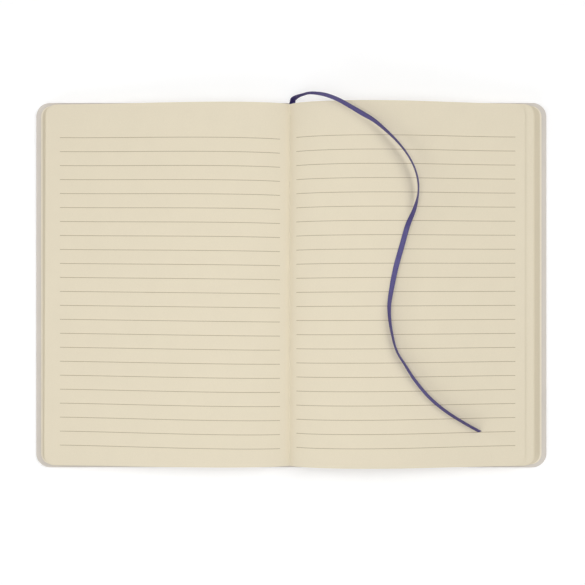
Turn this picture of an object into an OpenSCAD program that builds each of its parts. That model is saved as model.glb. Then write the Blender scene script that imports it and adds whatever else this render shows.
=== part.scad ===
// Sewn notebook lying open near its middle, with a wrapped cover and a ribbon marker.
// Millimetres. X runs across the spread, Y from tail to head, Z up from the table.
// The origin is under the middle of the spine, on the face that lies on the table.

/* [Cover] */
// Width of the open cover, from fore-edge to fore-edge
spread_w = 294; // [270:2:330]
// Height of the cover, from tail to head
cover_h = 210; // [180:2:250]
// Radius of the cover's outer corners
cover_r = 8; // [4:0.5:16]
// Thickness of the board inside the cover
board_t = 1.4; // [1:0.1:2.4]
// Thickness of the covering material
skin_t = 0.25; // [0.15:0.05:0.5]
// Width of the covering material turned in over the board
turn_in_w = 12; // [8:1:20]
// Width of each flexible groove beside the spine
groove_w = 6.5; // [5:0.5:9]
// Thickness of the flexible strip in a groove
strip_t = 0.4; // [0.2:0.05:0.6]
// Running gap across each hinge line
hinge_gap = 0.8; // [0.7:0.1:1.2]
// Radius of the covering material round the edges of the boards
edge_r = 0.6; // [0.3:0.05:0.8]

/* [Pages] */
// Gatherings of folded sheets to the left of the opening
left_gatherings = 5; // [3:1:7]
// Gatherings of folded sheets to the right of the opening
right_gatherings = 7; // [4:1:9]
// Thickness of one gathering, pressed flat
gathering_t = 0.72; // [0.5:0.02:0.9]
// Thickness of a single leaf
leaf_t = 0.15; // [0.1:0.05:0.2]
// Margin of cover that shows past the pages at the fore-edge
fore_square = 3; // [2:0.5:6]
// Margin of cover that shows past the pages at head and tail
head_square = 2; // [1:0.5:5]
// Radius of the pages' outer corners
leaf_r = 6; // [3:0.5:12]
// Margin of spine board past each side of the sewn pages
spine_margin = 1.2; // [0.8:0.1:2.5]

/* [Opening] */
// Height of the highest point of the left page
left_crest_z = 12.7; // [11:0.1:15]
// Distance of that point from the middle of the spine
left_crest_x = 36.5; // [25:0.5:50]
// Height of the highest point of the right page
right_crest_z = 16; // [13.5:0.1:19]
// Distance of that point from the middle of the spine
right_crest_x = 42; // [30:0.5:60]
// Height of the gutter's bottom, where the two open pages meet
gutter_z = 5.4; // [5:0.1:6.5]
// Share of the pages' arch that the lowest gathering already has
low_arch = 0.4; // [0.2:0.05:0.7]
// Step from the endleaf's fore-edge in to that of the lowest gathering
end_step = 1; // [0:0.1:2]
// Step of the left fore-edge, from the lowest gathering in to the highest
left_fan = 2.4; // [1:0.2:5]
// Step of the right fore-edge, from the lowest gathering in to the highest
right_fan = 4.4; // [1:0.2:7]
// How far the loose top leaf on the right lies inside the leaf below it
loose_leaf_step = 5.6; // [2:0.2:9]

/* [Ribbon] */
// Width of the ribbon marker
ribbon_w = 3.5; // [3:0.5:6]
// Thickness of the ribbon marker
ribbon_t = 0.3; // [0.2:0.05:0.4]
// Distance of the glued ribbon to the right of the middle of the spine
ribbon_x = 0.6; // [0:0.1:1.2]
// Length of ribbon glued down along the spine
ribbon_tail = 30; // [20:1:60]
// Clearance around the glued ribbon in its channel
ribbon_gap = 0.07; // [0.05:0.01:0.15]

/* [Hidden] */
$fn = 48;

// Colours
paper_colour = "#e9dfc9";
endpaper_colour = "#ece4d2";
skin_colour = "#dad4cc";
board_colour = "#b9a684";
lining_colour = "#efeae0";
ribbon_colour = "#5a5296";

// Slit that keeps neighbouring gatherings apart, and thickness of a pasted sheet
slit = 0.06;
paste_t = 0.15;

// Reach of a cutting shape past the face that it cuts
cut = 1;

// Heights of the layers above the table
board_top = skin_t + board_t;
cover_top = board_top + skin_t;
strip_drop = 0.1;
strip_z = (cover_top - strip_t) / 2 - strip_drop;
paste_top = cover_top + paste_t;
flyleaf_z = paste_top + slit;
pages_z = flyleaf_z + leaf_t + slit;
lining_t = 0.7;
lining_inset = 1;
block_z = cover_top + lining_t;
sewn_h = 1.2;
glue_z = block_z + gathering_t / 2;

// Widths worked out from the pages and the cover
block_w = (left_gatherings + right_gatherings) * gathering_t;
spine_w = block_w + 2 * spine_margin;
gutter_x = -block_w / 2 + left_gatherings * gathering_t;
board_x = spine_w / 2 + groove_w;
hinge_x = spine_w / 2 + groove_w / 2;
cover_x = spread_w / 2;
leaf_x = cover_x - fore_square;
leaf_h = cover_h - 2 * head_square;

// Facets of a page's rise from the spine and of its fall to the fore-edge
rise_steps = 12;
fall_steps = 16;

// Turn between the facets of a gathering's folded back, in degrees
fold_turn = 30;

// Plan outline with its two corners away from the spine rounded
module page_outline(x0, x1, h, r) {
    translate([x0, -h / 2]) square([x1 - r - x0, h]);
    translate([x0, -h / 2 + r]) square([x1 - x0, h - 2 * r]);
    for (s = [-1, 1]) translate([x1 - r, s * (h / 2 - r)]) circle(r);
}

module rounded_slab(x0, x1, h, r, z0, t) {
    translate([0, 0, z0]) linear_extrude(t) page_outline(x0, x1, h, r);
}

// Points of one leaf surface: a quarter ellipse out of the spine up to the crest, then a
// half wave down to the fore-edge. Distances run outwards from the middle of the spine.
function leaf_surface(start, crest, edge) = concat(
    [for (i = [0:rise_steps]) let (a = 90 * i / rise_steps)
        [crest.x - (crest.x - start.x) * cos(a), start.y + (crest.y - start.y) * sin(a)]],
    [for (i = [1:fall_steps]) let (v = i / fall_steps)
        [crest.x + (edge.x - crest.x) * v, edge.y + (crest.y - edge.y) * (1 + cos(180 * v)) / 2]]
);

// Section of a sheet or gathering of thickness t: its folded back, its lower surface, and its
// upper surface back to the spine
function sheet_section(foot, start, crest, edge, t) = concat(
    [for (a = [180:-fold_turn:0]) [start.x - t / 2 + t / 2 * cos(a), foot + t / 2 - t / 2 * sin(a)]],
    leaf_surface(start, crest, edge),
    [for (p = [0:rise_steps + fall_steps])
        leaf_surface([start.x - t, start.y], crest + [0, t], edge + [0, t])[rise_steps + fall_steps - p]]
);

// The sheet as a solid, trimmed short of its fore-edge by trim
module sheet_solid(foot, start, crest, edge, t, trim = 0) {
    intersection() {
        rotate([90, 0, 0])
            linear_extrude(leaf_h, center = true)
                polygon(sheet_section(foot, start, crest, edge, t));
        rounded_slab(-cut - gathering_t, edge.x - trim, leaf_h, leaf_r, 0, crest.y + cut);
    }
}

// Section of a wrapped edge: w wide and t thick, with its outer corners rounded by edge_r
module wrapped_edge(w, t) {
    square([w - edge_r, t]);
    translate([0, edge_r]) square([w, t - 2 * edge_r]);
    for (z = [edge_r, t - edge_r]) translate([w - edge_r, z]) circle(edge_r);
}

// Slab from x0 to x1 with rounded edges along head and tail, each made as a strip r wide
module wrapped_band(x0, x1, h, r, t) {
    translate([x0, -h / 2 + r, 0]) cube([x1 - x0, h - 2 * r, t]);
    for (s = [0, 1]) mirror([0, s, 0])
        translate([x0, h / 2 - r, 0]) rotate([90, 0, 90]) linear_extrude(x1 - x0) wrapped_edge(r, t);
}

// Slab from x0 to x1 with rounded outer corners of radius r and rounded edges all round them
module wrapped_slab(x0, x1, h, r, t) {
    wrapped_band(x0, x1 - r, h, r, t);
    translate([x1 - r, h / 2 - r, 0]) rotate([90, 0, 0]) linear_extrude(h - 2 * r) wrapped_edge(r, t);
    for (s = [0, 1]) mirror([0, s, 0])
        translate([x1 - r, h / 2 - r, 0]) rotate_extrude(angle = 90) wrapped_edge(r, t);
}

// Sizes of the half block on one side: side is 1 on the right and -1 on the left
function side_count(side) = side > 0 ? right_gatherings : left_gatherings;
function side_crest_x(side) = side > 0 ? right_crest_x : left_crest_x;
function side_fan(side) = side > 0 ? right_fan : left_fan;
function side_air(side) =
    (side > 0 ? right_crest_z : left_crest_z) - pages_z - side_count(side) * gathering_t;

// Share of the whole arch that the highest gathering has, and share of the crest's distance at
// which the bottom of the block has its own
top_arch = 0.96;
low_crest = 0.55;

// The same two shares for a gathering at level s, from 0 at the bottom to 1 at the open page
function arch_share(s) = low_arch + (top_arch - low_arch) * s;
function crest_share(s) = low_crest + (1 - low_crest) * s;

function gathering_start(side, k) = [
    side * gutter_x + (side_count(side) - k) * gathering_t,
    block_z + sewn_h + (gutter_z - block_z - sewn_h) * (k + 1) / side_count(side)
];
function gathering_crest(side, k) = [
    side_crest_x(side) * crest_share((k + 1) / side_count(side)),
    pages_z + k * gathering_t + side_air(side) * arch_share((k + 1) / side_count(side))
];
function gathering_edge(side, k) = [
    leaf_x - end_step - side_fan(side) * k / (side_count(side) - 1),
    pages_z + k * gathering_t
];

// The half block: gatherings that leave the spine upright and arch over one another
module half_block(side) {
    count = side_count(side);
    loose = side > 0 ? leaf_t + slit : 0;
    for (k = [0:count - 1])
        sheet_solid(block_z, gathering_start(side, k), gathering_crest(side, k),
            gathering_edge(side, k), gathering_t - slit - (k == count - 1 ? loose : 0));
}

// The top leaf on the right arches a little above the leaves below it and ends short of them
module loose_leaf() {
    below = gathering_t - leaf_t;
    k = right_gatherings - 1;
    sheet_solid(block_z,
        gathering_start(1, k) - [below, 0],
        [right_crest_x, right_crest_z - leaf_t],
        gathering_edge(1, k) + [0, below],
        leaf_t, loose_leaf_step);
}

// The sewn pages, with glue between the folded backs of the gatherings
module text_block() {
    color(paper_colour) {
        translate([-block_w / 2, -leaf_h / 2, glue_z]) cube([block_w, leaf_h, block_z + sewn_h - glue_z]);
        half_block(1);
        loose_leaf();
        mirror([1, 0, 0]) half_block(-1);
    }
}

// Free endleaf, tipped to the side of the sewn block and lying under its lowest gathering
module flyleaf(side) {
    start = gathering_start(side, 0);
    crest = gathering_crest(side, 0);
    sheet_solid(block_z,
        [start.x + leaf_t, block_z + sewn_h / 2],
        crest - [0, 2 * leaf_t],
        [leaf_x, flyleaf_z],
        leaf_t);
}

module front_flyleaf() {
    color(endpaper_colour) mirror([1, 0, 0]) flyleaf(-1);
}

module back_flyleaf() {
    color(endpaper_colour) flyleaf(1);
}

// Reinforcing cloth and paper on the block's spine, with a channel for the glued ribbon
module spine_lining() {
    lining_h = leaf_h - 2 * lining_inset;
    channel_w = ribbon_w + 2 * ribbon_gap;
    channel_t = ribbon_t + 2 * ribbon_gap;
    color(lining_colour) difference() {
        translate([-block_w / 2, -lining_h / 2, cover_top]) cube([block_w, lining_h, lining_t]);
        translate([ribbon_x - channel_w / 2, leaf_h / 2 - ribbon_tail, block_z - channel_t])
            cube([channel_w, ribbon_tail, channel_t + cut]);
    }
}

module spine_board() {
    h = cover_h - 2 * skin_t;
    color(board_colour) translate([-spine_w / 2, -h / 2, skin_t]) cube([spine_w, h, board_t]);
}

// Covering material around the spine board, as far as the two hinge lines
module spine_skin() {
    outer_w = spine_w + 2 * skin_t;
    window_h = cover_h - 2 * turn_in_w;
    strip_w = 2 * hinge_x - hinge_gap;
    color(skin_colour) difference() {
        union() {
            wrapped_band(-outer_w / 2, outer_w / 2, cover_h, cover_r, cover_top);
            translate([-strip_w / 2, -cover_h / 2, strip_z]) cube([strip_w, cover_h, strip_t]);
        }
        translate([-spine_w / 2, -cover_h / 2 + skin_t, skin_t])
            cube([spine_w, cover_h - 2 * skin_t, board_t]);
        translate([-outer_w / 2 - cut, -window_h / 2, board_top])
            cube([outer_w + 2 * cut, window_h, skin_t + cut]);
    }
}

module cover_board() {
    rounded_slab(board_x, cover_x - skin_t, cover_h - 2 * skin_t, cover_r - skin_t, skin_t, board_t);
}

// Room between the turn-ins, from distance x0 outwards
module turn_in_window(x0) {
    window_h = cover_h - 2 * turn_in_w;
    translate([x0, -window_h / 2, board_top]) cube([cover_x - turn_in_w - x0, window_h, skin_t]);
}

// Covering material wrapped around one board, with the strip that joins it to the spine
module cover_skin() {
    color(skin_colour) difference() {
        union() {
            wrapped_slab(board_x - skin_t, cover_x, cover_h, cover_r, cover_top);
            translate([hinge_x + hinge_gap / 2, -cover_h / 2, strip_z])
                cube([groove_w / 2 - hinge_gap / 2, cover_h, strip_t]);
        }
        cover_board();
        turn_in_window(board_x - skin_t - cut);
    }
}

// Endpaper pasted over the board and the edges of the turn-ins
module pastedown() {
    color(endpaper_colour) {
        turn_in_window(board_x);
        rounded_slab(board_x, leaf_x, leaf_h, leaf_r, cover_top, paste_t);
    }
}

module back_board() {
    color(board_colour) cover_board();
}

module back_skin() {
    cover_skin();
}

module back_pastedown() {
    pastedown();
}

module front_board() {
    color(board_colour) mirror([1, 0, 0]) cover_board();
}

module front_skin() {
    mirror([1, 0, 0]) cover_skin();
}

module front_pastedown() {
    mirror([1, 0, 0]) pastedown();
}

// Route of the ribbon's middle line: glued along the spine, out at the head, over the head
// edge of the right page and down it. Each point is [x, y, z, roll in degrees].
ribbon_route = [
    [ribbon_x, 75, 2.38, 0],
    [ribbon_x, 88, 2.38, 0],
    [ribbon_x, 98, 2.38, 0],
    [ribbon_x, 101.6, 2.38, 0],
    [ribbon_x, 103.5, 2.43, 3],
    [0.7, 105.1, 3.1, 22],
    [1, 105.9, 4.9, 48],
    [2, 106.3, 7.8, 68],
    [4, 106.6, 10.8, 80],
    [6.8, 106.9, 13, 84],
    [9.8, 107.2, 14.7, 83],
    [14, 106.8, 15.9, 78],
    [19.5, 105.6, 16.7, 71],
    [26, 103, 17.2, 67],
    [33, 99, 17.7, 64],
    [39.5, 95, 18.2, 60],
    [46, 91, 18.7, 69],
    [52.5, 85.5, 19, 79],
    [59, 79, 19.3, 86],
    [64.5, 72, 19.2, 89],
    [68.5, 64.5, 18.9, 89],
    [70.5, 57, 18.4, 87],
    [70.5, 49.5, 17.6, 84],
    [68.5, 41.5, 16.8, 60],
    [65, 33, 16.5, 44],
    [62, 22.5, 16.6, 41],
    [58.5, 10, 16.8, 40],
    [56, -2, 17.1, 49],
    [54.5, -13, 17.4, 63],
    [55.5, -24.5, 17.5, 74],
    [58.5, -36.5, 17.3, 79],
    [63.5, -45, 16.9, 74],
    [69, -53.5, 16.4, 67],
    [77, -63, 15.4, 64],
    [86.5, -71, 14.1, 64],
    [97.5, -78, 12.6, 65],
    [106.5, -83, 11.4, 64]
];

// Point and roll on a smooth curve through the route, between points i and i + 1
function route_at(i, v) =
    let (
        last = len(ribbon_route) - 1,
        a = ribbon_route[max(0, i - 1)],
        b = ribbon_route[i],
        c = ribbon_route[min(last, i + 1)],
        d = ribbon_route[min(last, i + 2)]
    )
    b + (c - a) * v / 2 + (2 * a - 5 * b + 4 * c - d) * v * v / 2
        + (3 * b - a - 3 * c + d) * v * v * v / 2;

function xyz(p) = [p.x, p.y, p.z];
function unit(v) = v / norm(v);

// Flat eight-sided ring across the ribbon, w wide and t thick
function ribbon_ring(p, dir, w, t) =
    let (
        side = unit(cross([0, 0, 1], dir)),
        up = cross(dir, side),
        across = side * cos(p[3]) + up * sin(p[3]),
        through = up * cos(p[3]) - side * sin(p[3]),
        ring = [
            [1, 0.25], [0.8, 0.5], [-0.8, 0.5], [-1, 0.25],
            [-1, -0.25], [-0.8, -0.5], [0.8, -0.5], [1, -0.25]
        ]
    )
    [for (q = ring) xyz(p) + across * q.x * w / 2 + through * q.y * t];

module ribbon() {
    ring_steps = 2;
    spans = len(ribbon_route) - 1;
    line = concat(
        [for (i = [0:spans - 1]) for (s = [0:ring_steps - 1]) route_at(i, s / ring_steps)],
        [ribbon_route[spans]]
    );
    count = len(line);
    points = [for (i = [0:count - 1])
        let (dir = unit(xyz(line[min(count - 1, i + 1)]) - xyz(line[max(0, i - 1)])))
        each ribbon_ring(line[i], dir, ribbon_w, ribbon_t)];
    faces = concat(
        [[for (j = [0:7]) j]],
        [for (i = [0:count - 2]) for (j = [0:7])
            let (a = 8 * i + j, b = 8 * i + (j + 1) % 8)
            each [[a, a + 8, b], [b, a + 8, b + 8]]],
        [[for (j = [7:-1:0]) 8 * (count - 1) + j]]
    );
    color(ribbon_colour) polyhedron(points, faces);
}

text_block();
front_flyleaf();
back_flyleaf();
spine_lining();
spine_board();
spine_skin();
front_board();
front_skin();
front_pastedown();
back_board();
back_skin();
back_pastedown();
ribbon();
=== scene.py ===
"""Ruled notebook lying open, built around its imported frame. Metres, in the frame's own axes:
X across the spread, Y from tail to head, Z up from the table, origin under the spine."""

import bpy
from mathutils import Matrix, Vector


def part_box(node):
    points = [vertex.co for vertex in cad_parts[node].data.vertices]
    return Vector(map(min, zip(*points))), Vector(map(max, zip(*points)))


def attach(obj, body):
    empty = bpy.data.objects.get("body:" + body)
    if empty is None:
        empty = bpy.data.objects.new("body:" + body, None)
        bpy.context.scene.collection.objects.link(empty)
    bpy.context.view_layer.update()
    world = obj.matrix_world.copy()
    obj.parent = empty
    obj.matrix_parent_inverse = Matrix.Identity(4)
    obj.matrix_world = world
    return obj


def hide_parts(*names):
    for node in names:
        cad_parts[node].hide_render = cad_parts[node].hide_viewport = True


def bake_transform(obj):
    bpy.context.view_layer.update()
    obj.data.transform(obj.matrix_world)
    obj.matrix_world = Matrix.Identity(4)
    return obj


bl_info = {
    "name": "Open Ruled Notebook",
    "version": (1, 0, 0),
    "blender": (4, 5, 0),
    "location": "View3D > Sidebar > Notebook",
    "description": "Builds the leaves, cover, endpapers and ribbon of a sewn notebook lying open",
    "category": "Add Mesh",
}

import math
import random

import bmesh
import bpy
from mathutils import Vector, noise

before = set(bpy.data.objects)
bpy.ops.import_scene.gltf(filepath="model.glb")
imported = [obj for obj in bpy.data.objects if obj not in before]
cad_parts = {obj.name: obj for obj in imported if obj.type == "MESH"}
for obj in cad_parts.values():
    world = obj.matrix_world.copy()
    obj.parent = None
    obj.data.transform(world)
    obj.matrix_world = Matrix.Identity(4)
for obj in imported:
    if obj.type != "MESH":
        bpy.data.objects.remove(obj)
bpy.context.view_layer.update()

MM = 0.001

# The far corners of the solids that the scene's pieces are fitted to
block_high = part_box("text_block")[1]
cover_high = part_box("back_skin")[1]
spine_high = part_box("spine_board")[1]
lining_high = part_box("spine_lining")[1]
paste_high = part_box("back_pastedown")[1]
endleaf_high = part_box("back_flyleaf")[1]

# Which side of the spine each cover lies on
SIDES = ((-1, "front"), (1, "back"))


def linear(code):
    """Linear red, green and blue of an sRGB hex colour such as e9dfc9."""
    parts = [int(code[i : i + 2], 16) / 255 for i in (0, 2, 4)]
    return [p / 12.92 if p <= 0.04045 else ((p + 0.055) / 1.055) ** 2.4 for p in parts]


def length(name, description, millimetres):
    """A length that the user sees in the scene's units."""
    return bpy.props.FloatProperty(
        name=name, description=description, default=millimetres * MM, unit="LENGTH", precision=5
    )


def colour(name, description, code):
    """A colour that the user picks."""
    return bpy.props.FloatVectorProperty(
        name=name, description=description, default=linear(code), subtype="COLOR", min=0, max=1
    )


class NotebookPages(bpy.types.PropertyGroup):
    """Sizes of the sewn leaves and of the shape they take when open."""

    left_gatherings: bpy.props.IntProperty(
        name="Left gatherings", description="Gatherings left of the opening", default=5, min=2
    )
    right_gatherings: bpy.props.IntProperty(
        name="Right gatherings", description="Gatherings right of the opening", default=7, min=2
    )
    leaves: bpy.props.IntProperty(
        name="Leaves", description="Leaves in one gathering", default=8, min=2
    )
    gathering_t: length("Gathering", "Thickness of one gathering, pressed flat", 0.72)
    slit: length("Slit", "Air between neighbouring gatherings where they touch", 0.06)
    corner_r: length("Corner", "Radius of the leaves' outer corners", 6)
    pages_z: length("Lowest leaf", "Height of the lowest leaf at the fore-edge", 2.32)
    sewn_h: length("Sewn height", "Height of the sewn folds above the spine lining", 1.2)
    gutter_z: length("Gutter", "Height of the gutter between the two open pages", 5.4)
    left_crest_x: length("Left crest distance", "From the spine to the left page's crest", 36.5)
    left_crest_z: length("Left crest height", "Height of the left page's crest", 12.7)
    right_crest_x: length("Right crest distance", "From the spine to the right page's crest", 42)
    right_crest_z: length("Right crest height", "Height of the right page's crest", 16)
    left_fan: length("Left fan", "Step of the left fore-edge, lowest leaf to highest", 2.4)
    right_fan: length("Right fan", "Step of the right fore-edge, lowest leaf to highest", 4.4)
    loose_step: length("Loose leaf step", "Loose top leaf's edge inside the leaf below it", 5.6)
    leaf_t: length("Leaf", "Thickness of the loose leaf and the endpapers", 0.15)
    low_arch: bpy.props.FloatProperty(
        name="Low arch", description="Share of the arch that the lowest gathering has", default=0.4
    )
    left_skew: bpy.props.FloatProperty(
        name="Left skew", description="Slope of the left open leaf's fore-edge", default=-0.0044
    )


class NotebookRuling(bpy.types.PropertyGroup):
    """Where the printed lines lie on the two open pages."""

    spacing: length("Spacing", "Distance between neighbouring lines", 7.975)
    count: bpy.props.IntProperty(name="Lines", description="Lines on a page", default=23, min=1)
    width: length("Width", "Width of a printed line", 0.26)
    left_first: length("Left first line", "Height on the page of its first line, at the spine", 82.45)
    right_first: length("Right first line", "Height on the page of its first line, at the spine", 83.35)
    left_slope: bpy.props.FloatProperty(
        name="Left slope", description="Rise of the left page's lines per unit to the right", default=-0.012
    )
    right_slope: bpy.props.FloatProperty(
        name="Right slope", description="Rise of the right page's lines per unit to the right", default=0.0053
    )
    left_outer: length("Left outer end", "Distance of the left lines' outer ends from the spine", 132)
    left_inner: length("Left inner end", "Distance of the left lines' inner ends from the spine", 6.4)
    right_outer: length("Right outer end", "Distance of the right lines' outer ends from the spine", 127.4)
    right_inner: length("Right inner end", "Distance of the right lines' inner ends from the spine", 2.9)

    def page_mask(self, side):
        """The printed lines of one page, as a function that adds their nodes to a material."""
        if side > 0:
            lines = (self.right_first, self.right_slope, self.right_inner, self.right_outer)
        else:
            lines = (self.left_first, self.left_slope, -self.left_inner, -self.left_outer)
        return lambda tree, place: ruling_mask(tree, place, *lines, self)


class NotebookCover(bpy.types.PropertyGroup):
    """Sizes of the wrapped cover and the ribbon."""

    corner_r: length("Corner", "Radius of the cover's outer corners", 8)
    edge_r: length("Edge", "Radius of the covering material round a board's edge", 0.6)
    skin_t: length("Covering", "Thickness of the covering material", 0.25)
    groove_w: length("Groove", "Width of the flexible groove beside the spine", 6.5)
    turn_in: length("Turn-in", "Width of the covering material turned in over the board", 12)
    groove_t: length("Groove thickness", "Thickness of the folded covering in a groove", 0.56)
    groove_lift: length("Groove depth", "How far the covering rises into a groove", 0.65)
    ribbon_w: length("Ribbon width", "Width of the ribbon marker", 3.5)
    ribbon_t: length("Ribbon thickness", "Thickness of the ribbon marker", 0.3)
    pleat: length("Pleats", "Height of the pleats turned in at the rounded corners", 0.09)


class NotebookColours(bpy.types.PropertyGroup):
    """Colours of the notebook and the table."""

    page: colour("Page", "Uncoated cream paper", "dfd5be")
    line: colour("Ruling", "Printed grey-brown lines", "9c8c70")
    endpaper: colour("Endpaper", "Heavier cream paper", "e8dfcc")
    cover: colour("Cover", "Coated off-white covering", "d2cbc2")
    board: colour("Board", "Grey-brown binding board", "b9a684")
    lining: colour("Lining", "Open-weave binding cloth", "ece6da")
    ribbon: colour("Ribbon", "Blue-violet satin", "3a3070")
    table: colour("Table", "Matt white table top", "fafafa")


def add_node(tree, kind, inputs=None, **settings):
    """Adds one shader node, sets its settings, and gives each input its value or its link."""
    made = tree.nodes.new(kind)
    for name, value in settings.items():
        setattr(made, name, value)
    for socket, value in (inputs or {}).items():
        if isinstance(value, bpy.types.NodeSocket):
            tree.links.new(value, made.inputs[socket])
        else:
            made.inputs[socket].default_value = value
    return made


def rgba(values):
    return (*values, 1)


def new_material(name):
    """An empty node material, its node tree, and its object coordinates."""
    made = bpy.data.materials.new(name)
    made.use_nodes = True
    tree = made.node_tree
    tree.nodes.clear()
    place = add_node(tree, "ShaderNodeTexCoord").outputs["Object"]
    return made, tree, place


def finish_surface(tree, inputs):
    """Joins a principled shader with these inputs to the material's surface."""
    shader = add_node(tree, "ShaderNodeBsdfPrincipled", inputs).outputs["BSDF"]
    add_node(tree, "ShaderNodeOutputMaterial", {"Surface": shader})


def maths(tree, operation, a, b=0.0, c=0.0):
    return add_node(tree, "ShaderNodeMath", {0: a, 1: b, 2: c}, operation=operation).outputs[0]


def clumps(tree, place, size, detail):
    """Noise with clumps about size across."""
    inputs = {"Vector": place, "Scale": 1 / size, "Detail": detail}
    return add_node(tree, "ShaderNodeTexNoise", inputs).outputs["Fac"]


# Noise seldom leaves this range
NOISE_ENDS = (0.3, 0.7)


def spread(tree, value, low, high, ends=NOISE_ENDS):
    """Spreads a value that runs between two ends over the range from low to high."""
    inputs = {"Value": value, "From Min": ends[0], "From Max": ends[1], "To Min": low, "To Max": high}
    return add_node(tree, "ShaderNodeMapRange", inputs).outputs[0]


def shaded(tree, tone, share):
    """A colour times a share that varies over the surface."""
    inputs = {0: tone, "Scale": share}
    return add_node(tree, "ShaderNodeVectorMath", inputs, operation="SCALE").outputs[0]


def bumps(tree, height, strength, depth, under=None, **settings):
    """The normal of a surface with bumps of this depth, over those of another normal."""
    inputs = {"Height": height, "Strength": strength, "Distance": depth}
    if under is not None:
        inputs["Normal"] = under
    return add_node(tree, "ShaderNodeBump", inputs, **settings).outputs[0]


def mix_colour(tree, factor, a, b):
    """Colour a where factor is 0 and b where it is 1."""
    made = add_node(tree, "ShaderNodeMix", {"Factor": factor}, data_type="RGBA")
    for socket, value in (("A", a), ("B", b)):
        slot = next(s for s in made.inputs if s.name == socket and s.type == "RGBA")
        if isinstance(value, bpy.types.NodeSocket):
            tree.links.new(value, slot)
        else:
            slot.default_value = rgba(value)
    return next(s for s in made.outputs if s.type == "RGBA")


def ruling_mask(tree, place, first, slope, inner, outer, ruling):
    """1 on the printed lines of a page and 0 between them, from places on the page."""
    xyz = add_node(tree, "ShaderNodeSeparateXYZ", {0: place})
    x, y = xyz.outputs["X"], xyz.outputs["Y"]
    level = maths(tree, "MULTIPLY_ADD", x, -slope, -first)
    row = maths(tree, "DIVIDE", maths(tree, "ADD", y, level), ruling.spacing)
    nearest = maths(tree, "ROUND", row)
    apart = maths(tree, "ABSOLUTE", maths(tree, "SUBTRACT", row, nearest))
    away = maths(tree, "MULTIPLY", apart, ruling.spacing)
    mask = maths(tree, "LESS_THAN", away, ruling.width / 2)
    for inside in (
        maths(tree, "LESS_THAN", nearest, 0.5),
        maths(tree, "GREATER_THAN", nearest, 0.5 - ruling.count),
        maths(tree, "GREATER_THAN", x, min(inner, outer)),
        maths(tree, "LESS_THAN", x, max(inner, outer)),
    ):
        mask = maths(tree, "MULTIPLY", mask, inside)
    return mask


def uncoated_paper(name, tone, mask=None, line=None):
    """Uncoated cream wood-free paper, machine finished: matt, with short fibres and a faint
    cloudiness when light falls across it. mask(tree, place) gives printed lines."""
    made, tree, place = new_material(name)
    # Fibre clumps about 0.5 mm, drawn coarser than single fibres so that they show
    fibres = clumps(tree, place, 0.5 * MM, 3)
    speckle = spread(tree, fibres, 0.975, 1.015)
    # Cloudiness of the sheet's formation, about 12 mm
    clouds = spread(tree, clumps(tree, place, 12 * MM, 2), 0.992, 1.006)
    paper = shaded(tree, tone, maths(tree, "MULTIPLY", speckle, clouds))
    if mask:
        paper = mix_colour(tree, mask(tree, place), paper, line)
    finish_surface(
        tree,
        {
            "Base Color": paper,
            "Roughness": 0.85,
            "IOR": 1.45,
            "Specular IOR Level": 0.3,
            "Normal": bumps(tree, fibres, 0.25, 0.02 * MM),
        },
    )
    return made


def coated_cover(name, tone):
    """Off-white polyurethane coating on cloth, embossed with a fine pebble grain: matt, with
    soft light on the rounded edges."""
    made, tree, place = new_material(name)
    # Pebbles about 0.9 mm across, embossed into the coating
    inputs = {"Vector": place, "Scale": 1 / (0.9 * MM), "Randomness": 1}
    pebbles = add_node(tree, "ShaderNodeTexVoronoi", inputs, feature="SMOOTH_F1").outputs["Distance"]
    embossed = bumps(tree, pebbles, 0.5, 0.06 * MM, invert=True)
    pores = clumps(tree, place, 0.25 * MM, 2)
    rubbed = clumps(tree, place, 25 * MM, 3)
    finish_surface(
        tree,
        {
            "Base Color": shaded(tree, tone, spread(tree, rubbed, 0.97, 1.02)),
            "Roughness": spread(tree, pores, 0.5, 0.62),
            "IOR": 1.49,
            "Normal": bumps(tree, pores, 0.3, 0.02 * MM, embossed),
        },
    )
    return made


def binding_board(name, tone):
    """Grey-brown millboard, rolled from pulp: dull, with flecks."""
    made, tree, place = new_material(name)
    flecks = clumps(tree, place, 0.7 * MM, 4)
    finish_surface(
        tree,
        {
            "Base Color": shaded(tree, tone, spread(tree, flecks, 0.85, 1.1)),
            "Roughness": 0.9,
            "Normal": bumps(tree, flecks, 0.4, 0.05 * MM),
        },
    )
    return made


def thread_wave(tree, along, pitch):
    """Height of threads that lie pitch apart, from the distance along a surface."""
    return maths(tree, "SINE", maths(tree, "MULTIPLY", along, math.tau / pitch))


def binding_cloth(name, tone):
    """Open-weave starched cotton over paper, glued to the sewn folds: dull, with a visible mesh."""
    made, tree, place = new_material(name)
    # Threads of binding cloth lie about 1 mm apart
    xyz = add_node(tree, "ShaderNodeSeparateXYZ", {0: place})
    mesh = maths(tree, "MULTIPLY", *[thread_wave(tree, xyz.outputs[axis], 1.0 * MM) for axis in "XY"])
    finish_surface(
        tree,
        {
            "Base Color": shaded(tree, tone, spread(tree, mesh, 0.86, 1.03, ends=(-1, 1))),
            "Roughness": 0.9,
            "Normal": bumps(tree, mesh, 0.5, 0.1 * MM),
        },
    )
    return made


# Viscose filament reflects a little bluer than white
SATIN_LUSTRE = (0.62, 0.62, 1.0)
# Painted shade along the ribbon's two woven edges: their colour as a share of the satin's
EDGE_PAINTED_SHADE = 0.45


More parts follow.
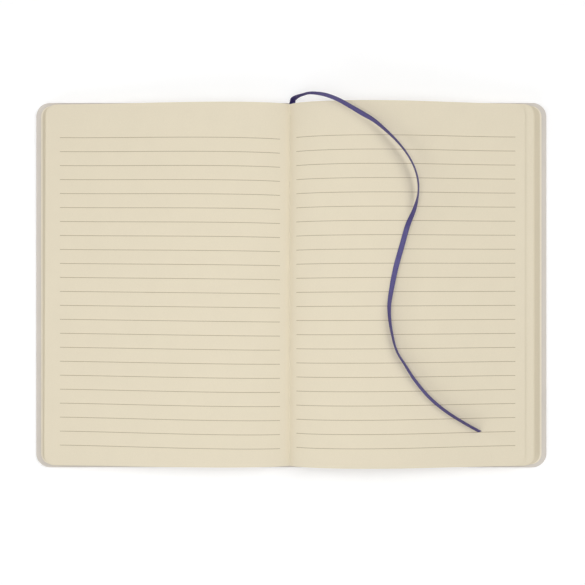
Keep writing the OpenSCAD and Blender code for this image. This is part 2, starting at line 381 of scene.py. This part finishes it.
def woven_satin(name, tone):
    """Double-faced viscose satin ribbon: long floats along the ribbon give a stretched soft
    highlight, and a darker colour is painted along the woven edges as shade."""
    made, tree, _ = new_material(name)
    # The ribbon's map runs in metres, X across it and Y along it
    uv = add_node(tree, "ShaderNodeTexCoord").outputs["UV"]
    xyz = add_node(tree, "ShaderNodeSeparateXYZ", {0: uv})
    # Picks of weft, drawn 0.5 mm apart and not the real 0.2 mm, so that they show
    picks = thread_wave(tree, xyz.outputs["Y"], 0.5 * MM)
    # Floats of warp, 0.12 mm wide and some 1.5 mm long
    inputs = {0: uv, 1: (1 / (0.12 * MM), 1 / (1.5 * MM), 1)}
    stretched = add_node(tree, "ShaderNodeVectorMath", inputs, operation="MULTIPLY").outputs[0]
    floats = clumps(tree, stretched, 1.0, 2)
    satin = shaded(tree, tone, spread(tree, floats, 0.85, 1.12))
    # Painted shade along the woven edges, 0.35 mm wide
    middle = maths(tree, "ABSOLUTE", xyz.outputs["X"])
    edge = spread(tree, middle, 0.0, 0.5, ends=(1.4 * MM, 1.55 * MM))
    along = add_node(tree, "ShaderNodeTangent", direction_type="UV_MAP", uv_map="Ribbon")
    finish_surface(
        tree,
        {
            # The painted shade of the edges is mixed into the satin's colour here
            "Base Color": mix_colour(tree, edge, satin, [c * EDGE_PAINTED_SHADE for c in tone]),
            "Roughness": 0.36,
            "IOR": 1.6,
            "Specular IOR Level": 1.0,
            "Specular Tint": rgba(SATIN_LUSTRE),
            "Anisotropic": 0.95,
            "Tangent": along.outputs[0],
            "Normal": bumps(tree, picks, 0.3, 0.03 * MM),
        },
    )
    return made


def matt_table(name, tone):
    """Matt white acrylic table top, lit from below as for product photographs, so that what
    stands on it casts only a faint shadow."""
    made, tree, place = new_material(name)
    orange_peel = clumps(tree, place, 3 * MM, 1)
    finish_surface(
        tree,
        {
            "Base Color": rgba(tone),
            "Roughness": 0.9,
            "Specular IOR Level": 0.1,
            "Emission Color": (1, 1, 1, 1),
            "Emission Strength": 0.09,
            "Normal": bumps(tree, orange_peel, 0.1, 0.02 * MM),
        },
    )
    return made


def dress_node(name, material):
    """Gives a solid of the frame its material."""
    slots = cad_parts[name].data.materials
    slots.clear()
    slots.append(material)


class MeshParts:
    """Points and faces of one mesh, gathered shell by shell."""

    def __init__(self):
        self.points, self.faces = [], []

    def grid(self, rows, closed=False):
        """Joins rows of points into quads. Each row has as many points. Returns the rows' numbers."""
        start, width = len(self.points), len(rows[0])
        self.points += [p for row in rows for p in row]
        numbers = [[start + i * width + j for j in range(width)] for i in range(len(rows))]
        for a, b in zip(numbers, numbers[1:]):
            for j in range(width if closed else width - 1):
                k = (j + 1) % width
                self.faces.append((a[j], a[k], b[k], b[j]))
        return numbers

    def tube(self, rings):
        """Joins rings of points into a closed tube with its two ends capped."""
        numbers = self.grid(rings, closed=True)
        self.faces += [tuple(numbers[0]), tuple(numbers[-1])]

    def finish(self, name, material, body, slot, smooth_angle=40):
        """Makes the mesh object, with its normals outwards, its material and its body."""
        mesh = bpy.data.meshes.new(name)
        mesh.from_pydata(self.points, [], self.faces)
        shell = bmesh.new()
        shell.from_mesh(mesh)
        bmesh.ops.recalc_face_normals(shell, faces=shell.faces)
        shell.to_mesh(mesh)
        shell.free()
        mesh.materials.append(material)
        made = bpy.data.objects.new(name, mesh)
        bpy.context.scene.collection.objects.link(made)
        mesh.shade_smooth()
        mesh.set_sharp_from_angle(angle=math.radians(smooth_angle))
        mesh.validate()
        if body:
            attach(made, body)
        return made


def leaf_curve(start, crest, edge, corner_r, trim=0.0, rise=24, fall=26, corner=7):
    """Points of a leaf's surface outwards from the spine: a quarter ellipse up to the crest, then
    a half wave down to the fore-edge, with points crowded where the corner is rounded. trim cuts
    the curve short of its fore-edge."""
    points = []
    for i in range(rise + 1):
        a = math.pi / 2 * i / rise
        points.append(
            (crest[0] - (crest[0] - start[0]) * math.cos(a), start[1] + (crest[1] - start[1]) * math.sin(a))
        )
    reach = edge[0] - crest[0]
    straight = reach - trim - corner_r
    stops = [straight * i / fall for i in range(1, fall + 1)]
    stops += [straight + corner_r * math.sin(math.pi / 2 * i / corner) for i in range(1, corner + 1)]
    for d in stops:
        wave = (1 + math.cos(math.pi * d / reach)) / 2
        points.append((crest[0] + d, edge[1] + (crest[1] - edge[1]) * wave))
    return points


def half_height(x, edge_x, corner_r, half_h):
    """Half the leaf's height at distance x, less where its corners are rounded."""
    past = max(0.0, x - (edge_x - corner_r))
    return half_h - corner_r + math.sqrt(max(0.0, corner_r**2 - past**2))


def add_leaf(parts, side, lower, upper, half_h, corner_r, rows=1, lift=None, skew=0.0):
    """Adds one leaf as a closed thin solid between two curves, mirrored on the left side. lift
    raises places on it, and skew turns its fore-edge slightly about the spine."""
    edge_x = lower[-1][0]
    rings = []
    for low, high in zip(lower, upper):
        h = half_height(low[0], edge_x, corner_r, half_h)
        ys = [h * (2 * j / rows - 1) for j in range(rows + 1)]
        raised = [lift(low[0] / edge_x, y) if lift else 0.0 for y in ys]
        turned = [skew * y * (low[0] / edge_x) ** 2 for y in ys]
        top = [(side * (high[0] + t), y, high[1] + r) for y, r, t in zip(ys, raised, turned)]
        bottom = [(side * (low[0] + t), y, low[1] + r) for y, r, t in zip(ys, raised, turned)]
        rings.append(top + bottom[::-1])
    numbers = parts.grid(rings, closed=True)
    width = len(numbers[0])
    for row in (numbers[0], numbers[-1]):
        for j in range(width // 2 - 1):
            parts.faces.append((row[j], row[j + 1], row[width - 2 - j], row[width - 1 - j]))


# Share of the whole arch that the highest gathering has, and share of the crest's distance at
# which the bottom of the block has its own
TOP_ARCH = 0.96
LOW_CREST = 0.55


class Opening:
    """The curves of the leaves on one side of the opening, as the frame's pages have them."""

    def __init__(self, pages, side):
        self.pages, self.side = pages, side
        self.count = pages.right_gatherings if side > 0 else pages.left_gatherings
        self.crest_x = pages.right_crest_x if side > 0 else pages.left_crest_x
        self.crest_z = pages.right_crest_z if side > 0 else pages.left_crest_z
        self.fan = pages.right_fan if side > 0 else pages.left_fan
        total = (pages.left_gatherings + pages.right_gatherings) * pages.gathering_t
        self.gutter = side * (pages.left_gatherings * pages.gathering_t - total / 2)
        self.air = self.crest_z - pages.pages_z - self.count * pages.gathering_t
        self.foot = lining_high.z
        self.sewn_z = self.foot + pages.sewn_h
        self.edge_x = block_high.x

    def start(self, k):
        return (
            self.gutter + (self.count - k) * self.pages.gathering_t,
            self.sewn_z + (self.pages.gutter_z - self.sewn_z) * (k + 1) / self.count,
        )

    def crest(self, k):
        level = (k + 1) / self.count
        arch = self.pages.low_arch + (TOP_ARCH - self.pages.low_arch) * level
        return (
            self.crest_x * (LOW_CREST + (1 - LOW_CREST) * level),
            self.pages.pages_z + k * self.pages.gathering_t + self.air * arch,
        )

    def edge(self, k):
        return (
            self.edge_x - self.fan * k / (self.count - 1),
            self.pages.pages_z + k * self.pages.gathering_t,
        )

    def surface(self, k, up, shift=0.0, fold=0.0):
        """The curve that lies up above gathering k's lower surface, its edge moved by shift and
        its foot raised by fold."""
        start, crest, edge = self.start(k), self.crest(k), self.edge(k)
        curve = leaf_curve(
            (start[0] - up, start[1]),
            (crest[0], crest[1] + up),
            (edge[0] + shift, edge[1] + up),
            self.pages.corner_r,
        )
        return [(start[0] - up, self.foot + fold)] + curve

    def loose_surface(self, up):
        """The curve that lies up above the lower surface of the loose top leaf."""
        k = self.count - 1
        below = self.pages.gathering_t - self.pages.leaf_t
        start, edge = self.start(k), self.edge(k)
        curve = leaf_curve(
            (start[0] - below - up, start[1]),
            (self.crest_x, self.crest_z - self.pages.leaf_t + up),
            (edge[0], edge[1] + below + up),
            self.pages.corner_r,
            trim=self.pages.loose_step,
        )
        return [(start[0] - below - up, self.foot)] + curve

    def endleaf_surface(self, up):
        """The curve that lies up above the lower surface of the free endleaf."""
        start, crest = self.start(0), self.crest(0)
        leaf_t = self.pages.leaf_t
        curve = leaf_curve(
            (start[0] + leaf_t - up, self.foot + self.pages.sewn_h / 2),
            (crest[0], crest[1] - 2 * leaf_t + up),
            (endleaf_high.x, paste_high.z + self.pages.slit + up),
            self.pages.corner_r,
        )
        return [(start[0] + leaf_t - up, self.foot)] + curve


def paper_lift(seed, height):
    """Slow unevenness of an open sheet that has taken up damp: it only rises, and more so
    towards its fore-edge."""
    offset = Vector((seed * 7.3, seed * 3.1, seed * 1.7))

    def lift(out, y):
        place = Vector((out * 2.2, y / (55 * MM), 0)) + offset
        return height * out**3 * (0.55 + 0.45 * noise.noise(place))

    return lift


# Share of its room that a leaf fills, where the rest is air, and the same for the loose top leaf
LEAF_SHARE = 0.95
LOOSE_SHARE = 0.7
# Painted shade: the closed gatherings' paper is darkened to this share of the page's colour, for the shade
# that the gaps between the leaves of a cut fore-edge hold beside an open page
FORE_EDGE_PAINTED_SHADE = 0.93
# Quads from tail to head on an open leaf, enough for its slow unevenness
OPEN_LEAF_ROWS = 24
# Point of an open page's curve where the strip in the gutter starts, about 0.8 mm from the gutter
BANK = 4


class NOTEBOOK_OT_leaves(bpy.types.Operator):
    """Build every leaf of the twelve gatherings, fanned over one another"""

    bl_idname = "notebook.leaves"
    bl_label = "Leaves"

    def execute(self, context):
        pages = context.scene.notebook_pages
        ruling = context.scene.notebook_ruling
        tones = context.scene.notebook_colours
        plain = uncoated_paper("Uncoated cream paper", tones.page)
        # The closed gatherings' paper, darkened with painted shade so that their fore-edges look shaded
        edges = uncoated_paper("Uncoated cream paper, cut edges", [c * FORE_EDGE_PAINTED_SHADE for c in tones.page])
        draw = random.Random(5)
        for side, word in ((-1, "left"), (1, "right")):
            opening = Opening(pages, side)
            ruled = uncoated_paper(
                f"Uncoated cream paper, ruled {word} page",
                tones.page,
                ruling.page_mask(side),
                tones.line,
            )
            for k in range(opening.count):
                parts = self.gathering(pages, opening, k, draw)
                # Every gathering but the top one takes the paper with painted shade
                paper = plain if k == opening.count - 1 else edges
                made = parts.finish(f"{word}_gathering_{k + 1}", paper, "block", "page_paper")
                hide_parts("text_block")
            parts = self.open_leaf(pages, opening)
            made = parts.finish(f"{word}_open_leaf", ruled, "block", "page_paper")
            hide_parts("text_block")
        made = self.gutter_fold(pages).finish("gutter_fold", plain, "block", "page_paper")
        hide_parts("text_block")
        return {"FINISHED"}

    def gutter_fold(self, pages, steps=10):
        """The valley where the two open pages press together: a narrow strip that runs smoothly on
        into the slopes of both."""
        left, right = Opening(pages, -1), Opening(pages, 1)
        left_page = [(-x, z) for x, z in left.surface(left.count - 1, pages.gathering_t - pages.slit)]
        right_page = right.loose_surface(pages.leaf_t * LOOSE_SHARE)
        (left_x, left_z), (ax, az) = left_page[BANK : BANK + 2]
        (right_x, right_z), (bx, bz) = right_page[BANK : BANK + 2]
        left_slope, right_slope = (az - left_z) / (ax - left_x), (bz - right_z) / (bx - right_x)
        # Where the two slopes would meet
        rise = right_z - left_z + left_slope * left_x - right_slope * right_x
        low_x = rise / (left_slope - right_slope)
        low_z = left_z + left_slope * (low_x - left_x)
        lower, upper = [], []
        for i in range(steps + 1):
            v = i / steps
            a, b, c = (1 - v) ** 2, 2 * v * (1 - v), v * v
            x, z = a * left_x + b * low_x + c * right_x, a * left_z + b * low_z + c * right_z
            lower.append((x, z - pages.leaf_t / 2))
            upper.append((x, z + 0.01 * MM))
        parts = MeshParts()
        half_h = block_high.y - 0.02 * MM
        rings = [
            [(x, -half_h, top), (x, half_h, top), (x, half_h, foot), (x, -half_h, foot)]
            for (x, top), (_, foot) in zip(upper, lower)
        ]
        parts.tube(rings)
        return parts

    def gathering(self, pages, opening, k, draw):
        """The closed leaves of one gathering, nested as folded sheets."""
        top = k == opening.count - 1
        loose = pages.leaf_t + pages.slit if top and opening.side > 0 else 0.0
        pitch = (pages.gathering_t - pages.slit - loose) / pages.leaves
        fan_step = opening.fan / (opening.count - 1) / pages.leaves
        parts = MeshParts()
        for leaf in range(pages.leaves - (1 if top and opening.side < 0 else 0)):
            shift = -fan_step * leaf + draw.uniform(-0.08, 0.08) * MM
            fold = pitch * min(leaf, pages.leaves - 1 - leaf)
            half_h = block_high.y - draw.uniform(0, 0.06) * MM
            low = opening.surface(k, leaf * pitch, shift, fold)
            high = opening.surface(k, (leaf + LEAF_SHARE) * pitch, shift, fold)
            add_leaf(parts, opening.side, low, high, half_h, pages.corner_r)
        return parts

    def open_leaf(self, pages, opening):
        """The ruled leaf on top, which isn't held down and so lies a little uneven."""
        parts = MeshParts()
        if opening.side > 0:
            low, high = opening.loose_surface(0), opening.loose_surface(pages.leaf_t * LOOSE_SHARE)
            lift, skew = paper_lift(3, 0.3 * MM), 0.0
        else:
            k = opening.count - 1
            pitch = (pages.gathering_t - pages.slit) / pages.leaves
            up = pitch * (pages.leaves - 1)
            low, high = opening.surface(k, up), opening.surface(k, up + LEAF_SHARE * pitch)
            lift, skew = paper_lift(8, 0.2 * MM), pages.left_skew
        add_leaf(
            parts, opening.side, low, high, block_high.y, pages.corner_r, OPEN_LEAF_ROWS, lift, skew
        )
        return parts


class NOTEBOOK_OT_endpapers(bpy.types.Operator):
    """Build the endleaves and the hinges of paper across the grooves"""

    bl_idname = "notebook.endpapers"
    bl_label = "Endpapers"

    def execute(self, context):
        pages = context.scene.notebook_pages
        paper = uncoated_paper("Heavier cream endpaper", context.scene.notebook_colours.endpaper)
        for side, word in SIDES:
            dress_node(f"{word}_pastedown", paper)
            opening = Opening(pages, side)
            parts = MeshParts()
            low, high = opening.endleaf_surface(0), opening.endleaf_surface(pages.leaf_t)
            add_leaf(parts, side, low, high, block_high.y, pages.corner_r)
            made = parts.finish(f"{word}_endleaf", paper, "block", "endpaper")
            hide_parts(f"{word}_flyleaf")

            parts = MeshParts()
            leaf_t = pages.leaf_t
            fold_x = opening.start(0)[0] + leaf_t / 2
            board_low = cover_high.z + leaf_t / 2
            # From the fold beside the sewn leaves, down to the spine board and over the groove
            line = [
                (fold_x, opening.foot - 0.02 * MM),
                (fold_x + 0.06 * MM, opening.foot - 0.3 * MM),
                (fold_x + 0.35 * MM, board_low + 0.09 * MM),
                (spine_high.x - 0.25 * MM, board_low),
            ]
            for x, lift, height in groove_rows(context.scene.notebook_cover):
                line.append((x, lift + height + leaf_t / 2))
            rings = []
            for i, (x, z) in enumerate(line):
                (ax, az), (bx, bz) = line[max(0, i - 1)], line[min(len(line) - 1, i + 1)]
                run = math.hypot(bx - ax, bz - az)
                nx, nz = -(bz - az) / run * leaf_t / 2, (bx - ax) / run * leaf_t / 2
                h = block_high.y
                rings.append(
                    [(side * (x + s * nx), y, z + s * nz) for s, y in ((1, -h), (1, h), (-1, h), (-1, -h))]
                )
            parts.tube(rings)
            made = parts.finish(f"{word}_paper_hinge", paper, None, "endpaper")
            bend_over_groove(made)
            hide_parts(f"{word}_flyleaf", f"{word}_pastedown")
        return {"FINISHED"}


def groove_rows(cover, steps=16):
    """Rows across a groove from the spine board to the cover board: distance, lift of the
    covering's outer face, and thickness of the folded covering."""
    rows = []
    for i in range(steps + 1):
        share = i / steps
        dip = 1 - abs(2 * share - 1) ** 3
        rows.append(
            (
                spine_high.x + cover.groove_w * share,
                cover.groove_lift * dip,
                cover_high.z + (cover.groove_t - cover_high.z) * dip,
            )
        )
    return rows


def bend_over_groove(made):
    """Bakes the placement of a sheet that spans a groove into its points."""
    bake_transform(made)


# Insets of the rows on a turn-in before its end
TURN_IN_ROWS = (2.5 * MM, 6 * MM)


def wrap_profile(cover, height, steps=5):
    """Section of the covering folded round an edge, as (inset, z), from its outer face round
    the edge to the end of the turn-in, and back along its inner face."""
    r = min(cover.edge_r, height / 2)
    inner_r = max(r - cover.skin_t, 0.02 * MM)
    turns = [math.pi / 2 * i / steps for i in range(steps + 1)]
    outer = [(r - r * math.sin(a), r - r * math.cos(a)) for a in turns]
    outer += [(r - r * math.cos(a), height - r + r * math.sin(a)) for a in turns]
    outer += [(inset, height) for inset in (*TURN_IN_ROWS, cover.turn_in)]
    near, top = cover.skin_t + inner_r, height - cover.skin_t
    inner = [(inset, top) for inset in (cover.turn_in, *TURN_IN_ROWS[::-1])]
    inner += [(near - inner_r * math.cos(a), top - inner_r + inner_r * math.sin(a)) for a in turns[::-1]]
    inner += [(near - inner_r * math.sin(a), near - inner_r * math.cos(a)) for a in turns[::-1]]
    return outer + inner


class NOTEBOOK_OT_cover(bpy.types.Operator):
    """Wrap the three boards in one covering that bends in the grooves"""

    bl_idname = "notebook.cover"
    bl_label = "Cover"

    def execute(self, context):
        cover = context.scene.notebook_cover
        tones = context.scene.notebook_colours
        coat = coated_cover("Coated off-white covering", tones.cover)
        finishes = {
            binding_board("Binding board", tones.board): ("front_board", "back_board", "spine_board"),
            binding_cloth("Binding cloth", tones.lining): ("spine_lining",),
        }
        for material, names in finishes.items():
            for name in names:
                dress_node(name, material)

        edge = spine_high.x
        rows = [(-edge, 0, cover_high.z), (0, 0, cover_high.z), (edge, 0, cover_high.z)]
        made = self.run(cover, rows).finish("spine_covering", coat, "block", "cover_skin")
        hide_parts("spine_skin")
        for side, word in SIDES:
            rows = [(side * x, lift, height) for x, lift, height in groove_rows(cover)]
            made = self.run(cover, rows).finish(f"{word}_groove_covering", coat, None, "cover_skin")
            bend_over_groove(made)
            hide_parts("spine_skin", f"{word}_skin")
            made = self.board(cover, side).finish(
                f"{word}_covering", coat, f"{word}_cover", "cover_skin"
            )
            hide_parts(f"{word}_skin")
        return {"FINISHED"}

    def run(self, cover, rows):
        """Covering from tail to head, turned in at both, along rows of (x, lift, thickness)."""
        parts = MeshParts()
        rings = []
        for x, lift, height in rows:
            profile = wrap_profile(cover, height)
            head = [(x, cover_high.y - inset, lift + z) for inset, z in profile]
            rings.append(head + [(px, -py, pz) for px, py, pz in reversed(head)])
        parts.tube(rings)
        return parts

    def board(self, cover, side):
        """Covering round one board: from the groove along the head, round the fore-edge and back
        along the tail, with small pleats where it is turned in round the corners."""
        parts = MeshParts()
        arc = 18
        hinge_x = spine_high.x + cover.groove_w
        rings = []
        profile = wrap_profile(cover, cover_high.z)
        for number, (inset, z) in enumerate(profile):
            r = max(cover.corner_r - inset, 1 * MM)
            cx, cy = cover_high.x - inset - r, cover_high.y - inset - r
            turned_in = number < len(profile) / 2 and z > cover_high.z - 0.05 * MM and inset > 1 * MM
            head = [(hinge_x, cover_high.y - inset, z)]
            for j in range(arc + 1):
                a = math.pi / 2 * j / arc
                pleat = cover.pleat * (1 - math.cos(math.tau * j / 3)) / 2 if turned_in else 0.0
                head.append((cx + r * math.sin(a), cy + r * math.cos(a), z + pleat))
            loop = head + [(x, -y, pz) for x, y, pz in reversed(head)]
            rings.append([(side * x, y, pz) for x, y, pz in loop])
        numbers = parts.grid(rings)
        outer, inner = numbers[0], numbers[-1]
        parts.faces += [tuple(outer), tuple(inner)]
        parts.faces += [tuple(row[0] for row in numbers), tuple(row[-1] for row in numbers)]
        parts.faces.append((outer[0], inner[0], inner[-1], outer[-1]))
        return parts


# The ribbon's middle line, in the frame's millimetres: x, y, z and roll in degrees
RIBBON_X = 0.6
RIBBON_ROUTE = [
    (RIBBON_X, 75, 2.38, 0),
    (RIBBON_X, 88, 2.38, 0),
    (RIBBON_X, 98, 2.38, 0),
    (RIBBON_X, 101.6, 2.38, 0),
    (RIBBON_X, 103.5, 2.43, 3),
    (0.7, 105.1, 3.1, 22),
    (1, 105.9, 4.9, 48),
    (2, 106.3, 7.8, 68),
    (4, 106.6, 10.8, 80),
    (6.8, 106.9, 13, 84),
    (9.8, 107.2, 14.7, 83),
    (14, 106.8, 15.9, 78),
    (19.5, 105.6, 16.7, 71),
    (26, 103, 17.2, 67),
    (33, 99, 17.7, 64),
    (39.5, 95, 18.2, 60),
    (46, 91, 18.7, 69),
    (52.5, 85.5, 19, 79),
    (59, 79, 19.3, 86),
    (64.5, 72, 19.2, 89),
    (68.5, 64.5, 18.9, 89),
    (70.5, 57, 18.4, 87),
    (70.5, 49.5, 17.6, 84),
    (68.5, 41.5, 16.8, 60),
    (65, 33, 16.5, 44),
    (62, 22.5, 16.6, 41),
    (58.5, 10, 16.8, 40),
    (56, -2, 17.1, 49),
    (54.5, -13, 17.4, 63),
    (55.5, -24.5, 17.5, 74),
    (58.5, -36.5, 17.3, 79),
    (63.5, -45, 16.9, 74),
    (69, -53.5, 16.4, 67),
    (77, -63, 15.4, 64),
    (86.5, -71, 14.1, 64),
    (97.5, -78, 12.6, 65),
    (106.5, -83, 11.4, 64),
]


def route_at(route, i, v):
    """Place and roll at share v between route points i and i + 1, on a smooth curve."""
    last = len(route) - 1
    near = [route[max(0, i - 1)], route[i], route[min(last, i + 1)], route[min(last, i + 2)]]
    return [
        b + (c - a) * v / 2 + (2 * a - 5 * b + 4 * c - d) * v * v / 2 + (3 * b - a - 3 * c + d) * v**3 / 2
        for a, b, c, d in zip(*near)
    ]


class NOTEBOOK_OT_ribbon(bpy.types.Operator):
    """Weave the satin ribbon marker along its route"""

    bl_idname = "notebook.ribbon"
    bl_label = "Ribbon"

    def execute(self, context):
        cover = context.scene.notebook_cover
        tones = context.scene.notebook_colours
        steps = 8
        legs = range(len(RIBBON_ROUTE) - 1)
        line = [route_at(RIBBON_ROUTE, i, s / steps) for i in legs for s in range(steps)]
        line.append(list(RIBBON_ROUTE[-1]))
        places = [Vector(p[:3]) * MM for p in line]
        half_w, half_t = cover.ribbon_w / 2, cover.ribbon_t / 2
        # Section across the ribbon: flat, with a slightly thicker woven edge
        section = [(-1, 0), (-0.97, 0.8), (-0.9, 1), (-0.82, 0.75), (-0.4, 0.7), (0, 0.7), (0.4, 0.7)]
        section += [(0.82, 0.75), (0.9, 1), (0.97, 0.8), (1, 0), (0.97, -0.8), (0.9, -1), (0.82, -0.75)]
        section += [(0.4, -0.7), (0, -0.7), (-0.4, -0.7), (-0.82, -0.75), (-0.9, -1), (-0.97, -0.8)]
        parts = MeshParts()
        rings, run = [], [0.0]
        for a, b in zip(places, places[1:]):
            run.append(run[-1] + (b - a).length)
        for i, place in enumerate(places):
            ahead = places[min(len(places) - 1, i + 1)]
            behind = places[max(0, i - 1)]
            forward = (ahead - behind).normalized()
            sideways = Vector((0, 0, 1)).cross(forward).normalized()
            up = forward.cross(sideways)
            roll = math.radians(line[i][3])
            across = sideways * math.cos(roll) + up * math.sin(roll)
            through = up * math.cos(roll) - sideways * math.sin(roll)
            rings.append([place + across * (u * half_w) + through * (w * half_t) for u, w in section])
        parts.tube(rings)
        satin = woven_satin("Woven satin ribbon", tones.ribbon)
        made = parts.finish("ribbon_marker", satin, None, "ribbon_satin")
        layer = made.data.uv_layers.new(name="Ribbon")
        width = len(section)
        for loop in made.data.loops:
            i, j = divmod(loop.vertex_index, width)
            layer.data[loop.index].uv = (section[j][0] * half_w, run[i])
        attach(made, "block")
        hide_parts("ribbon")
        return {"FINISHED"}


def look_at(made, target):
    made.rotation_euler = (Vector(target) - made.location).to_track_quat("-Z", "Y").to_euler()


class NOTEBOOK_OT_stage(bpy.types.Operator):
    """Lay out the table, the lights and the camera straight above the notebook"""

    bl_idname = "notebook.stage"
    bl_label = "Stage"

    def execute(self, context):
        scene = context.scene
        tones = scene.notebook_colours
        mesh = bpy.data.meshes.new("table_top")
        half = 6.0
        corners = [(-half, -half, 0), (half, -half, 0), (half, half, 0), (-half, half, 0)]
        mesh.from_pydata(corners, [], [(0, 1, 2, 3)])
        mesh.materials.append(matt_table("Matt white table", tones.table))
        table = bpy.data.objects.new("table_top", mesh)
        scene.collection.objects.link(table)
        # A hair below the cover, so that the two faces don't flicker
        table.location.z = -0.1 * MM

        world = bpy.data.worlds.new("Soft studio")
        world.use_nodes = True
        background = world.node_tree.nodes["Background"].inputs
        background["Color"].default_value = (1, 1, 1, 1)
        background["Strength"].default_value = 0.36
        scene.world = world

        # Square soft boxes: name, place and width in metres, power in watts
        for name, place, size, power in (
            ("key_light", (1.4, 0.55, 1.35), 1.1, 14.5),
            ("overhead_light", (-0.05, -0.02, 0.53), 0.35, 1.1),
            ("side_light", (-1.45, 0.41, 0.55), 0.3, 3.4),
            ("fill_light", (-0.7, -1.3, 0.64), 0.7, 6.0),
        ):
            data = bpy.data.lights.new(name, "AREA")
            data.size = size
            data.energy = power
            light = bpy.data.objects.new(name, data)
            light.visible_camera = False
            scene.collection.objects.link(light)
            light.location = place
            look_at(light, (0, 0, 0))

        # The camera looks straight down from 470 mm, a little towards the tail of the
        # notebook, with the frame shifted up to hold it all
        height, foot_x, foot_y = 470 * MM, 0.7 * MM, -13.3 * MM
        photo_px, focal_px, principal_y = 585, 812.9, 308.2
        data = bpy.data.cameras.new("camera")
        data.sensor_width = 36
        data.lens = focal_px / photo_px * data.sensor_width
        data.shift_y = (principal_y - photo_px / 2) / photo_px
        camera = bpy.data.objects.new("camera", data)
        scene.collection.objects.link(camera)
        camera.location = (foot_x, foot_y, height)
        scene.camera = camera
        scene.view_settings.view_transform = "Standard"
        return {"FINISHED"}


class NOTEBOOK_PT_panel(bpy.types.Panel):
    """Lists the notebook's pieces and their sizes"""

    bl_idname = "NOTEBOOK_PT_panel"
    bl_label = "Open Notebook"
    bl_space_type = "VIEW_3D"
    bl_region_type = "UI"
    bl_category = "Notebook"

    def draw(self, context):
        for operator in OPERATORS:
            self.layout.operator(operator.bl_idname)
        for name in ("notebook_pages", "notebook_ruling", "notebook_cover", "notebook_colours"):
            group = getattr(context.scene, name)
            box = self.layout.box()
            for key in group.__annotations__:
                box.prop(group, key)


GROUPS = {
    "notebook_pages": NotebookPages,
    "notebook_ruling": NotebookRuling,
    "notebook_cover": NotebookCover,
    "notebook_colours": NotebookColours,
}
OPERATORS = (
    NOTEBOOK_OT_stage,
    NOTEBOOK_OT_ribbon,
    NOTEBOOK_OT_leaves,
    NOTEBOOK_OT_endpapers,
    NOTEBOOK_OT_cover,
)


def register():
    for name, group in GROUPS.items():
        bpy.utils.register_class(group)
        setattr(bpy.types.Scene, name, bpy.props.PointerProperty(type=group))
    for item in (*OPERATORS, NOTEBOOK_PT_panel):
        bpy.utils.register_class(item)


def unregister():
    for item in reversed((*OPERATORS, NOTEBOOK_PT_panel)):
        bpy.utils.unregister_class(item)
    for name, group in GROUPS.items():
        delattr(bpy.types.Scene, name)
        bpy.utils.unregister_class(group)


def main():
    register()
    for operator in OPERATORS:
        group, action = operator.bl_idname.split(".")
        getattr(getattr(bpy.ops, group), action)()


if __name__ == "__main__":
    main()
